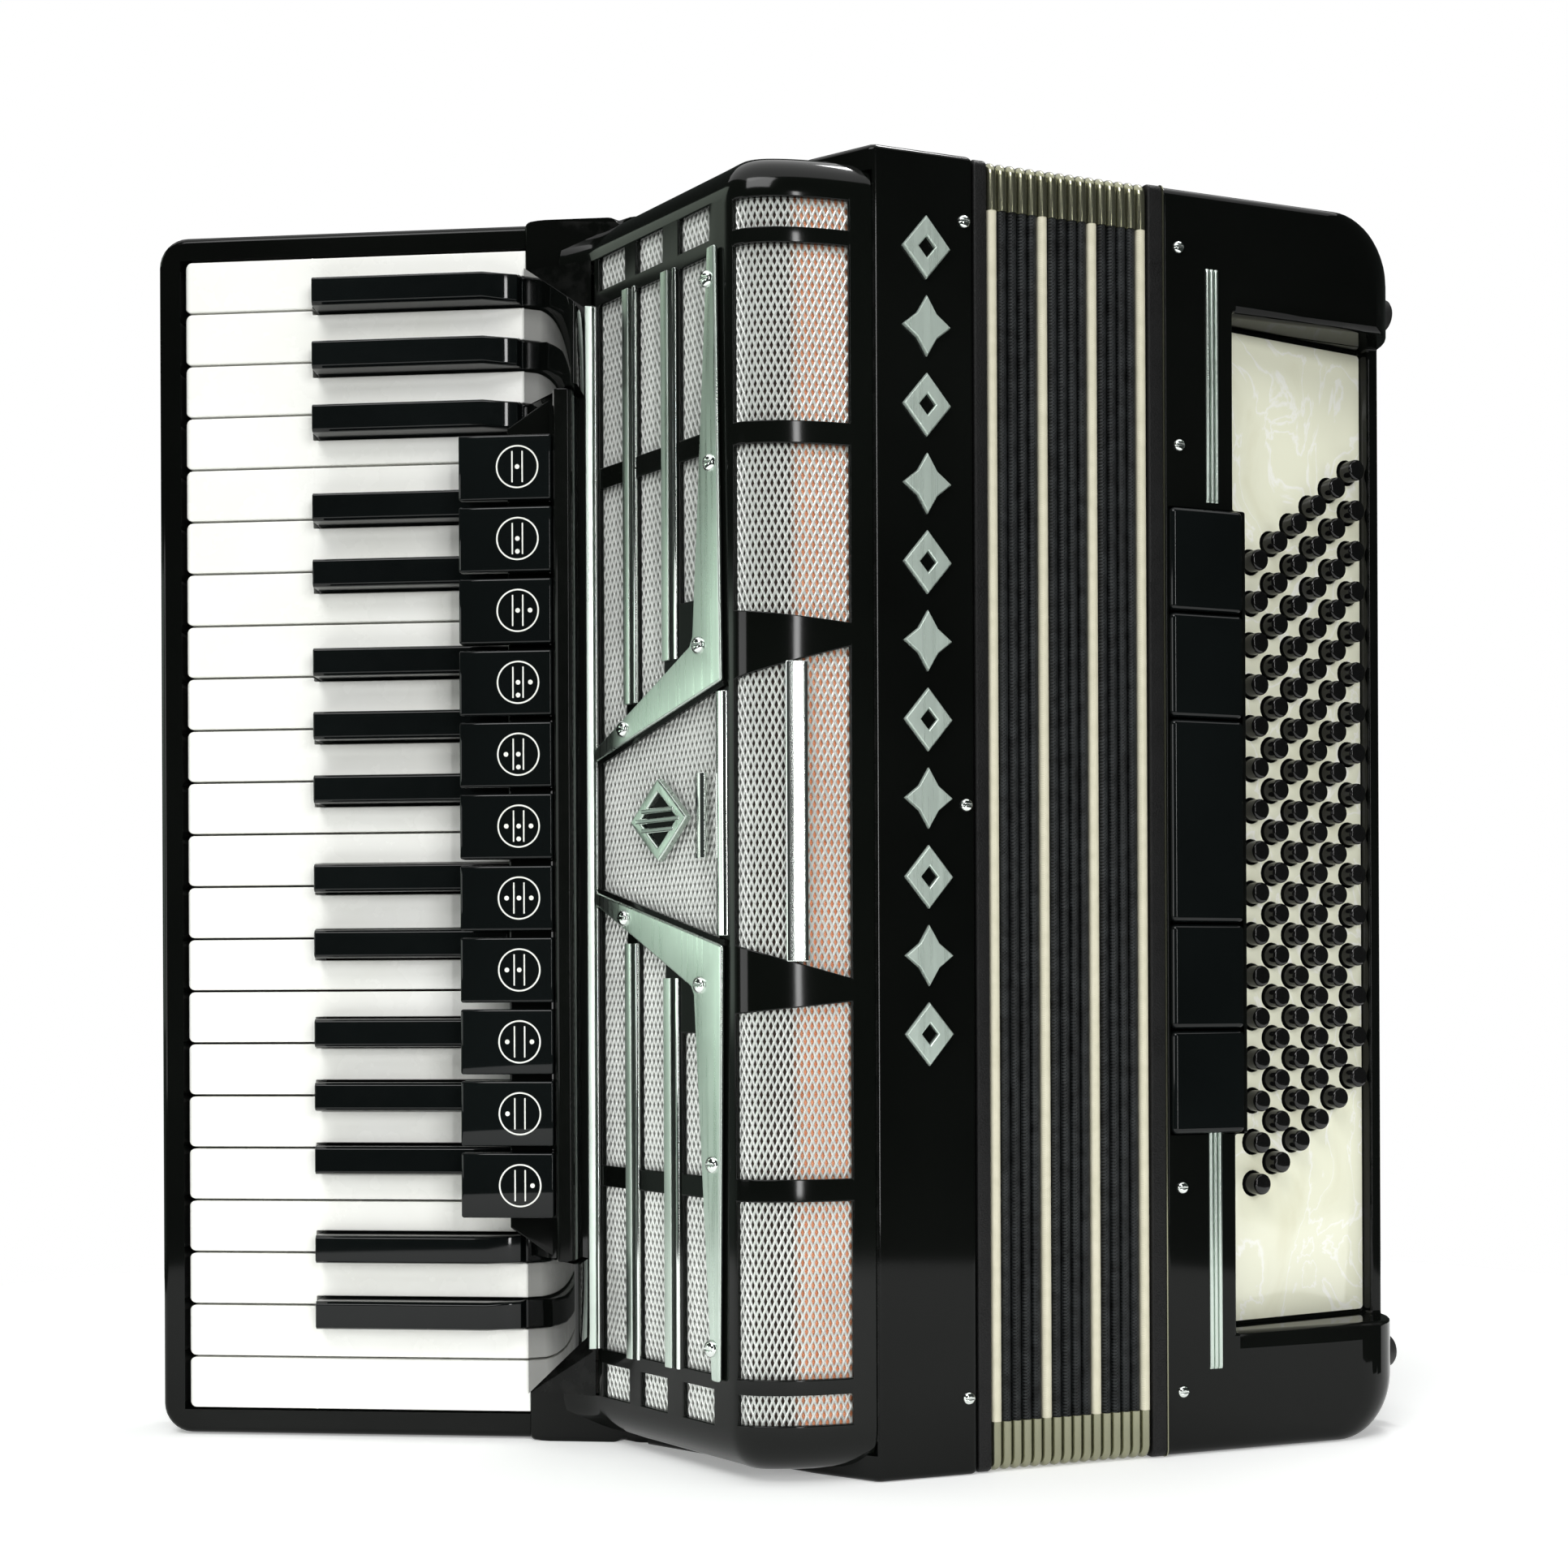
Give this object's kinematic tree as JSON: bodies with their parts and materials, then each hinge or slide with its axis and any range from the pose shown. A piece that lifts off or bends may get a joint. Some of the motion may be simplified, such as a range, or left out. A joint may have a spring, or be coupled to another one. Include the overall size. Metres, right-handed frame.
{
  "type": "piano accordion",
  "caption": "Piano accordion with hinged keys, treble and bass register tabs, a bass button bank and a sliding bellows.",
  "frame": {"origin": "middle of the footprint of the closed instrument standing on its lower end", "axes": "+Z along the keyboard to the chin end, +X from the keyboard to the bass end, +Y from the front to the player's chest"},
  "size_m": [0.4458, 0.202, 0.45],
  "materials": {
    "celluloid_black": "polished black celluloid",
    "key_cream": "polished cream",
    "key_black": "polished black",
    "register_black": "polished black",
    "button_black": "polished black",
    "grille_silver": "expanded metal and bright trim",
    "bellows_board": "woven black bellows tape",
    "reed_wood": "planed spruce"
  },
  "bodies": {
    "treble": {"treble_body": "celluloid_black", "treble_reed_block": "reed_wood", "keyboard_frame": "celluloid_black", "grille_cover": "grille_silver", "bellows": "bellows_board"},
    "bass": {"bass_body": "celluloid_black"},
    "white_key_01_f3": {"white_key_01_f3": "key_cream"},
    "white_key_02_g3": {"white_key_02_g3": "key_cream"},
    "white_key_03_a3": {"white_key_03_a3": "key_cream"},
    "white_key_04_b3": {"white_key_04_b3": "key_cream"},
    "white_key_05_c4": {"white_key_05_c4": "key_cream"},
    "white_key_06_d4": {"white_key_06_d4": "key_cream"},
    "white_key_07_e4": {"white_key_07_e4": "key_cream"},
    "white_key_08_f4": {"white_key_08_f4": "key_cream"},
    "white_key_09_g4": {"white_key_09_g4": "key_cream"},
    "white_key_10_a4": {"white_key_10_a4": "key_cream"},
    "white_key_11_b4": {"white_key_11_b4": "key_cream"},
    "white_key_12_c5": {"white_key_12_c5": "key_cream"},
    "white_key_13_d5": {"white_key_13_d5": "key_cream"},
    "white_key_14_e5": {"white_key_14_e5": "key_cream"},
    "white_key_15_f5": {"white_key_15_f5": "key_cream"},
    "white_key_16_g5": {"white_key_16_g5": "key_cream"},
    "white_key_17_a5": {"white_key_17_a5": "key_cream"},
    "white_key_18_b5": {"white_key_18_b5": "key_cream"},
    "white_key_19_c6": {"white_key_19_c6": "key_cream"},
    "white_key_20_d6": {"white_key_20_d6": "key_cream"},
    "white_key_21_e6": {"white_key_21_e6": "key_cream"},
    "white_key_22_f6": {"white_key_22_f6": "key_cream"},
    "black_key_01_fs3": {"black_key_01_fs3": "key_black"},
    "black_key_02_gs3": {"black_key_02_gs3": "key_black"},
    "black_key_03_as3": {"black_key_03_as3": "key_black"},
    "black_key_04_cs4": {"black_key_04_cs4": "key_black"},
    "black_key_05_ds4": {"black_key_05_ds4": "key_black"},
    "black_key_06_fs4": {"black_key_06_fs4": "key_black"},
    "black_key_07_gs4": {"black_key_07_gs4": "key_black"},
    "black_key_08_as4": {"black_key_08_as4": "key_black"},
    "black_key_09_cs5": {"black_key_09_cs5": "key_black"},
    "black_key_10_ds5": {"black_key_10_ds5": "key_black"},
    "black_key_11_fs5": {"black_key_11_fs5": "key_black"},
    "black_key_12_gs5": {"black_key_12_gs5": "key_black"},
    "black_key_13_as5": {"black_key_13_as5": "key_black"},
    "black_key_14_cs6": {"black_key_14_cs6": "key_black"},
    "black_key_15_ds6": {"black_key_15_ds6": "key_black"},
    "treble_register_01": {"treble_register_01": "register_black"},
    "treble_register_02": {"treble_register_02": "register_black"},
    "treble_register_03": {"treble_register_03": "register_black"},
    "treble_register_04": {"treble_register_04": "register_black"},
    "treble_register_05": {"treble_register_05": "register_black"},
    "treble_register_06": {"treble_register_06": "register_black"},
    "treble_register_07": {"treble_register_07": "register_black"},
    "treble_register_08": {"treble_register_08": "register_black"},
    "treble_register_09": {"treble_register_09": "register_black"},
    "treble_register_10": {"treble_register_10": "register_black"},
    "treble_register_11": {"treble_register_11": "register_black"},
    "bass_register_1": {"bass_register_1": "register_black"},
    "bass_register_2": {"bass_register_2": "register_black"},
    "bass_register_3": {"bass_register_3": "register_black"},
    "bass_register_4": {"bass_register_4": "register_black"},
    "bass_register_5": {"bass_register_5": "register_black"},
    "bass_buttons": {"bass_button_bank": "button_black"}
  },
  "joints": [
    {"name": "bellows_draw", "type": "slide", "parent": "treble", "child": "bass", "axis": [1, 0, 0], "range_m": [0, 0.3], "deforming": ["bellows"]},
    {"name": "white_key_01_f3_press", "type": "hinge", "parent": "treble", "child": "white_key_01_f3", "pos_m": [-0.05708, -0.00015, 0.43022], "axis": [0, 0, -1], "range_deg": [0, 1.5], "stiffness_Nm_per_rad": 2, "springref_deg": -3.44},
    {"name": "white_key_02_g3_press", "type": "hinge", "parent": "treble", "child": "white_key_02_g3", "pos_m": [-0.05708, -0.00015, 0.41068], "axis": [0, 0, -1], "range_deg": [0, 1.5], "stiffness_Nm_per_rad": 2, "springref_deg": -3.44},
    {"name": "white_key_03_a3_press", "type": "hinge", "parent": "treble", "child": "white_key_03_a3", "pos_m": [-0.05708, -0.00015, 0.39113], "axis": [0, 0, -1], "range_deg": [0, 1.5], "stiffness_Nm_per_rad": 2, "springref_deg": -3.44},
    {"name": "white_key_04_b3_press", "type": "hinge", "parent": "treble", "child": "white_key_04_b3", "pos_m": [-0.05708, -0.00015, 0.37159], "axis": [0, 0, -1], "range_deg": [0, 1.5], "stiffness_Nm_per_rad": 2, "springref_deg": -3.44},
    {"name": "white_key_05_c4_press", "type": "hinge", "parent": "treble", "child": "white_key_05_c4", "pos_m": [-0.05708, -0.00015, 0.35204], "axis": [0, 0, -1], "range_deg": [0, 1.5], "stiffness_Nm_per_rad": 2, "springref_deg": -3.44},
    {"name": "white_key_06_d4_press", "type": "hinge", "parent": "treble", "child": "white_key_06_d4", "pos_m": [-0.05708, -0.00015, 0.3325], "axis": [0, 0, -1], "range_deg": [0, 1.5], "stiffness_Nm_per_rad": 2, "springref_deg": -3.44},
    {"name": "white_key_07_e4_press", "type": "hinge", "parent": "treble", "child": "white_key_07_e4", "pos_m": [-0.05708, -0.00015, 0.31295], "axis": [0, 0, -1], "range_deg": [0, 1.5], "stiffness_Nm_per_rad": 2, "springref_deg": -3.44},
    {"name": "white_key_08_f4_press", "type": "hinge", "parent": "treble", "child": "white_key_08_f4", "pos_m": [-0.05708, -0.00015, 0.29341], "axis": [0, 0, -1], "range_deg": [0, 1.5], "stiffness_Nm_per_rad": 2, "springref_deg": -3.44},
    {"name": "white_key_09_g4_press", "type": "hinge", "parent": "treble", "child": "white_key_09_g4", "pos_m": [-0.05708, -0.00015, 0.27386], "axis": [0, 0, -1], "range_deg": [0, 1.5], "stiffness_Nm_per_rad": 2, "springref_deg": -3.44},
    {"name": "white_key_10_a4_press", "type": "hinge", "parent": "treble", "child": "white_key_10_a4", "pos_m": [-0.05708, -0.00015, 0.25432], "axis": [0, 0, -1], "range_deg": [0, 1.5], "stiffness_Nm_per_rad": 2, "springref_deg": -3.44},
    {"name": "white_key_11_b4_press", "type": "hinge", "parent": "treble", "child": "white_key_11_b4", "pos_m": [-0.05708, -0.00015, 0.23477], "axis": [0, 0, -1], "range_deg": [0, 1.5], "stiffness_Nm_per_rad": 2, "springref_deg": -3.44},
    {"name": "white_key_12_c5_press", "type": "hinge", "parent": "treble", "child": "white_key_12_c5", "pos_m": [-0.05708, -0.00015, 0.21523], "axis": [0, 0, -1], "range_deg": [0, 1.5], "stiffness_Nm_per_rad": 2, "springref_deg": -3.44},
    {"name": "white_key_13_d5_press", "type": "hinge", "parent": "treble", "child": "white_key_13_d5", "pos_m": [-0.05708, -0.00015, 0.19568], "axis": [0, 0, -1], "range_deg": [0, 1.5], "stiffness_Nm_per_rad": 2, "springref_deg": -3.44},
    {"name": "white_key_14_e5_press", "type": "hinge", "parent": "treble", "child": "white_key_14_e5", "pos_m": [-0.05708, -0.00015, 0.17614], "axis": [0, 0, -1], "range_deg": [0, 1.5], "stiffness_Nm_per_rad": 2, "springref_deg": -3.44},
    {"name": "white_key_15_f5_press", "type": "hinge", "parent": "treble", "child": "white_key_15_f5", "pos_m": [-0.05708, -0.00015, 0.15659], "axis": [0, 0, -1], "range_deg": [0, 1.5], "stiffness_Nm_per_rad": 2, "springref_deg": -3.44},
    {"name": "white_key_16_g5_press", "type": "hinge", "parent": "treble", "child": "white_key_16_g5", "pos_m": [-0.05708, -0.00015, 0.13705], "axis": [0, 0, -1], "range_deg": [0, 1.5], "stiffness_Nm_per_rad": 2, "springref_deg": -3.44},
    {"name": "white_key_17_a5_press", "type": "hinge", "parent": "treble", "child": "white_key_17_a5", "pos_m": [-0.05708, -0.00015, 0.1175], "axis": [0, 0, -1], "range_deg": [0, 1.5], "stiffness_Nm_per_rad": 2, "springref_deg": -3.44},
    {"name": "white_key_18_b5_press", "type": "hinge", "parent": "treble", "child": "white_key_18_b5", "pos_m": [-0.05708, -0.00015, 0.09796], "axis": [0, 0, -1], "range_deg": [0, 1.5], "stiffness_Nm_per_rad": 2, "springref_deg": -3.44},
    {"name": "white_key_19_c6_press", "type": "hinge", "parent": "treble", "child": "white_key_19_c6", "pos_m": [-0.05708, -0.00015, 0.07841], "axis": [0, 0, -1], "range_deg": [0, 1.5], "stiffness_Nm_per_rad": 2, "springref_deg": -3.44},
    {"name": "white_key_20_d6_press", "type": "hinge", "parent": "treble", "child": "white_key_20_d6", "pos_m": [-0.05708, -0.00015, 0.05887], "axis": [0, 0, -1], "range_deg": [0, 1.5], "stiffness_Nm_per_rad": 2, "springref_deg": -3.44},
    {"name": "white_key_21_e6_press", "type": "hinge", "parent": "treble", "child": "white_key_21_e6", "pos_m": [-0.05708, -0.00015, 0.03932], "axis": [0, 0, -1], "range_deg": [0, 1.5], "stiffness_Nm_per_rad": 2, "springref_deg": -3.44},
    {"name": "white_key_22_f6_press", "type": "hinge", "parent": "treble", "child": "white_key_22_f6", "pos_m": [-0.05708, -0.00015, 0.01978], "axis": [0, 0, -1], "range_deg": [0, 1.5], "stiffness_Nm_per_rad": 2, "springref_deg": -3.44},
    {"name": "black_key_01_fs3_press", "type": "hinge", "parent": "treble", "child": "black_key_01_fs3", "pos_m": [-0.05708, -0.00015, 0.42435], "axis": [0, 0, -1], "range_deg": [0, 1.5], "stiffness_Nm_per_rad": 2, "springref_deg": -3.44},
    {"name": "black_key_02_gs3_press", "type": "hinge", "parent": "treble", "child": "black_key_02_gs3", "pos_m": [-0.05708, -0.00015, 0.40091], "axis": [0, 0, -1], "range_deg": [0, 1.5], "stiffness_Nm_per_rad": 2, "springref_deg": -3.44},
    {"name": "black_key_03_as3_press", "type": "hinge", "parent": "treble", "child": "black_key_03_as3", "pos_m": [-0.05708, -0.00015, 0.37746], "axis": [0, 0, -1], "range_deg": [0, 1.5], "stiffness_Nm_per_rad": 2, "springref_deg": -3.44},
    {"name": "black_key_04_cs4_press", "type": "hinge", "parent": "treble", "child": "black_key_04_cs4", "pos_m": [-0.05708, -0.00015, 0.34467], "axis": [0, 0, -1], "range_deg": [0, 1.5], "stiffness_Nm_per_rad": 2, "springref_deg": -3.44},
    {"name": "black_key_05_ds4_press", "type": "hinge", "parent": "treble", "child": "black_key_05_ds4", "pos_m": [-0.05708, -0.00015, 0.32033], "axis": [0, 0, -1], "range_deg": [0, 1.5], "stiffness_Nm_per_rad": 2, "springref_deg": -3.44},
    {"name": "black_key_06_fs4_press", "type": "hinge", "parent": "treble", "child": "black_key_06_fs4", "pos_m": [-0.05708, -0.00015, 0.28753], "axis": [0, 0, -1], "range_deg": [0, 1.5], "stiffness_Nm_per_rad": 2, "springref_deg": -3.44},
    {"name": "black_key_07_gs4_press", "type": "hinge", "parent": "treble", "child": "black_key_07_gs4", "pos_m": [-0.05708, -0.00015, 0.26409], "axis": [0, 0, -1], "range_deg": [0, 1.5], "stiffness_Nm_per_rad": 2, "springref_deg": -3.44},
    {"name": "black_key_08_as4_press", "type": "hinge", "parent": "treble", "child": "black_key_08_as4", "pos_m": [-0.05708, -0.00015, 0.24064], "axis": [0, 0, -1], "range_deg": [0, 1.5], "stiffness_Nm_per_rad": 2, "springref_deg": -3.44},
    {"name": "black_key_09_cs5_press", "type": "hinge", "parent": "treble", "child": "black_key_09_cs5", "pos_m": [-0.05708, -0.00015, 0.20786], "axis": [0, 0, -1], "range_deg": [0, 1.5], "stiffness_Nm_per_rad": 2, "springref_deg": -3.44},
    {"name": "black_key_10_ds5_press", "type": "hinge", "parent": "treble", "child": "black_key_10_ds5", "pos_m": [-0.05708, -0.00015, 0.18351], "axis": [0, 0, -1], "range_deg": [0, 1.5], "stiffness_Nm_per_rad": 2, "springref_deg": -3.44},
    {"name": "black_key_11_fs5_press", "type": "hinge", "parent": "treble", "child": "black_key_11_fs5", "pos_m": [-0.05708, -0.00015, 0.15072], "axis": [0, 0, -1], "range_deg": [0, 1.5], "stiffness_Nm_per_rad": 2, "springref_deg": -3.44},
    {"name": "black_key_12_gs5_press", "type": "hinge", "parent": "treble", "child": "black_key_12_gs5", "pos_m": [-0.05708, -0.00015, 0.12727], "axis": [0, 0, -1], "range_deg": [0, 1.5], "stiffness_Nm_per_rad": 2, "springref_deg": -3.44},
    {"name": "black_key_13_as5_press", "type": "hinge", "parent": "treble", "child": "black_key_13_as5", "pos_m": [-0.05708, -0.00015, 0.10383], "axis": [0, 0, -1], "range_deg": [0, 1.5], "stiffness_Nm_per_rad": 2, "springref_deg": -3.44},
    {"name": "black_key_14_cs6_press", "type": "hinge", "parent": "treble", "child": "black_key_14_cs6", "pos_m": [-0.05708, -0.00015, 0.07104], "axis": [0, 0, -1], "range_deg": [0, 1.5], "stiffness_Nm_per_rad": 2, "springref_deg": -3.44},
    {"name": "black_key_15_ds6_press", "type": "hinge", "parent": "treble", "child": "black_key_15_ds6", "pos_m": [-0.05708, -0.00015, 0.0467], "axis": [0, 0, -1], "range_deg": [0, 1.5], "stiffness_Nm_per_rad": 2, "springref_deg": -3.44},
    {"name": "treble_register_01_press", "type": "hinge", "parent": "treble", "child": "treble_register_01", "pos_m": [-0.0839, -0.01612, 0.354], "axis": [0, 0, -1], "range_deg": [0, 5], "stiffness_Nm_per_rad": 0.2, "springref_deg": -11.46},
    {"name": "treble_register_02_press", "type": "hinge", "parent": "treble", "child": "treble_register_02", "pos_m": [-0.0839, -0.01612, 0.3282], "axis": [0, 0, -1], "range_deg": [0, 5], "stiffness_Nm_per_rad": 0.2, "springref_deg": -11.46},
    {"name": "treble_register_03_press", "type": "hinge", "parent": "treble", "child": "treble_register_03", "pos_m": [-0.0839, -0.01612, 0.3024], "axis": [0, 0, -1], "range_deg": [0, 5], "stiffness_Nm_per_rad": 0.2, "springref_deg": -11.46},
    {"name": "treble_register_04_press", "type": "hinge", "parent": "treble", "child": "treble_register_04", "pos_m": [-0.0839, -0.01612, 0.2766], "axis": [0, 0, -1], "range_deg": [0, 5], "stiffness_Nm_per_rad": 0.2, "springref_deg": -11.46},
    {"name": "treble_register_05_press", "type": "hinge", "parent": "treble", "child": "treble_register_05", "pos_m": [-0.0839, -0.01612, 0.2508], "axis": [0, 0, -1], "range_deg": [0, 5], "stiffness_Nm_per_rad": 0.2, "springref_deg": -11.46},
    {"name": "treble_register_06_press", "type": "hinge", "parent": "treble", "child": "treble_register_06", "pos_m": [-0.0839, -0.01612, 0.225], "axis": [0, 0, -1], "range_deg": [0, 5], "stiffness_Nm_per_rad": 0.2, "springref_deg": -11.46},
    {"name": "treble_register_07_press", "type": "hinge", "parent": "treble", "child": "treble_register_07", "pos_m": [-0.0839, -0.01612, 0.1992], "axis": [0, 0, -1], "range_deg": [0, 5], "stiffness_Nm_per_rad": 0.2, "springref_deg": -11.46},
    {"name": "treble_register_08_press", "type": "hinge", "parent": "treble", "child": "treble_register_08", "pos_m": [-0.0839, -0.01612, 0.1734], "axis": [0, 0, -1], "range_deg": [0, 5], "stiffness_Nm_per_rad": 0.2, "springref_deg": -11.46},
    {"name": "treble_register_09_press", "type": "hinge", "parent": "treble", "child": "treble_register_09", "pos_m": [-0.0839, -0.01612, 0.1476], "axis": [0, 0, -1], "range_deg": [0, 5], "stiffness_Nm_per_rad": 0.2, "springref_deg": -11.46},
    {"name": "treble_register_10_press", "type": "hinge", "parent": "treble", "child": "treble_register_10", "pos_m": [-0.0839, -0.01612, 0.1218], "axis": [0, 0, -1], "range_deg": [0, 5], "stiffness_Nm_per_rad": 0.2, "springref_deg": -11.46},
    {"name": "treble_register_11_press", "type": "hinge", "parent": "treble", "child": "treble_register_11", "pos_m": [-0.0839, -0.01612, 0.096], "axis": [0, 0, -1], "range_deg": [0, 5], "stiffness_Nm_per_rad": 0.2, "springref_deg": -11.46},
    {"name": "bass_register_1_press", "type": "slide", "parent": "bass", "child": "bass_register_1", "axis": [0, 1, 0], "range_m": [0, 0.003], "stiffness_N_per_m": 400, "springref_m": -0.003},
    {"name": "bass_register_2_press", "type": "slide", "parent": "bass", "child": "bass_register_2", "axis": [0, 1, 0], "range_m": [0, 0.003], "stiffness_N_per_m": 400, "springref_m": -0.003},
    {"name": "bass_register_3_press", "type": "slide", "parent": "bass", "child": "bass_register_3", "axis": [0, 1, 0], "range_m": [0, 0.003], "stiffness_N_per_m": 400, "springref_m": -0.003},
    {"name": "bass_register_4_press", "type": "slide", "parent": "bass", "child": "bass_register_4", "axis": [0, 1, 0], "range_m": [0, 0.003], "stiffness_N_per_m": 400, "springref_m": -0.003},
    {"name": "bass_register_5_press", "type": "slide", "parent": "bass", "child": "bass_register_5", "axis": [0, 1, 0], "range_m": [0, 0.003], "stiffness_N_per_m": 400, "springref_m": -0.003},
    {"name": "bass_buttons_press", "type": "slide", "parent": "bass", "child": "bass_buttons", "axis": [-0.1498, 0.9887, 0], "range_m": [0, 0.004], "stiffness_N_per_m": 2000, "springref_m": -0.002}
  ]
}
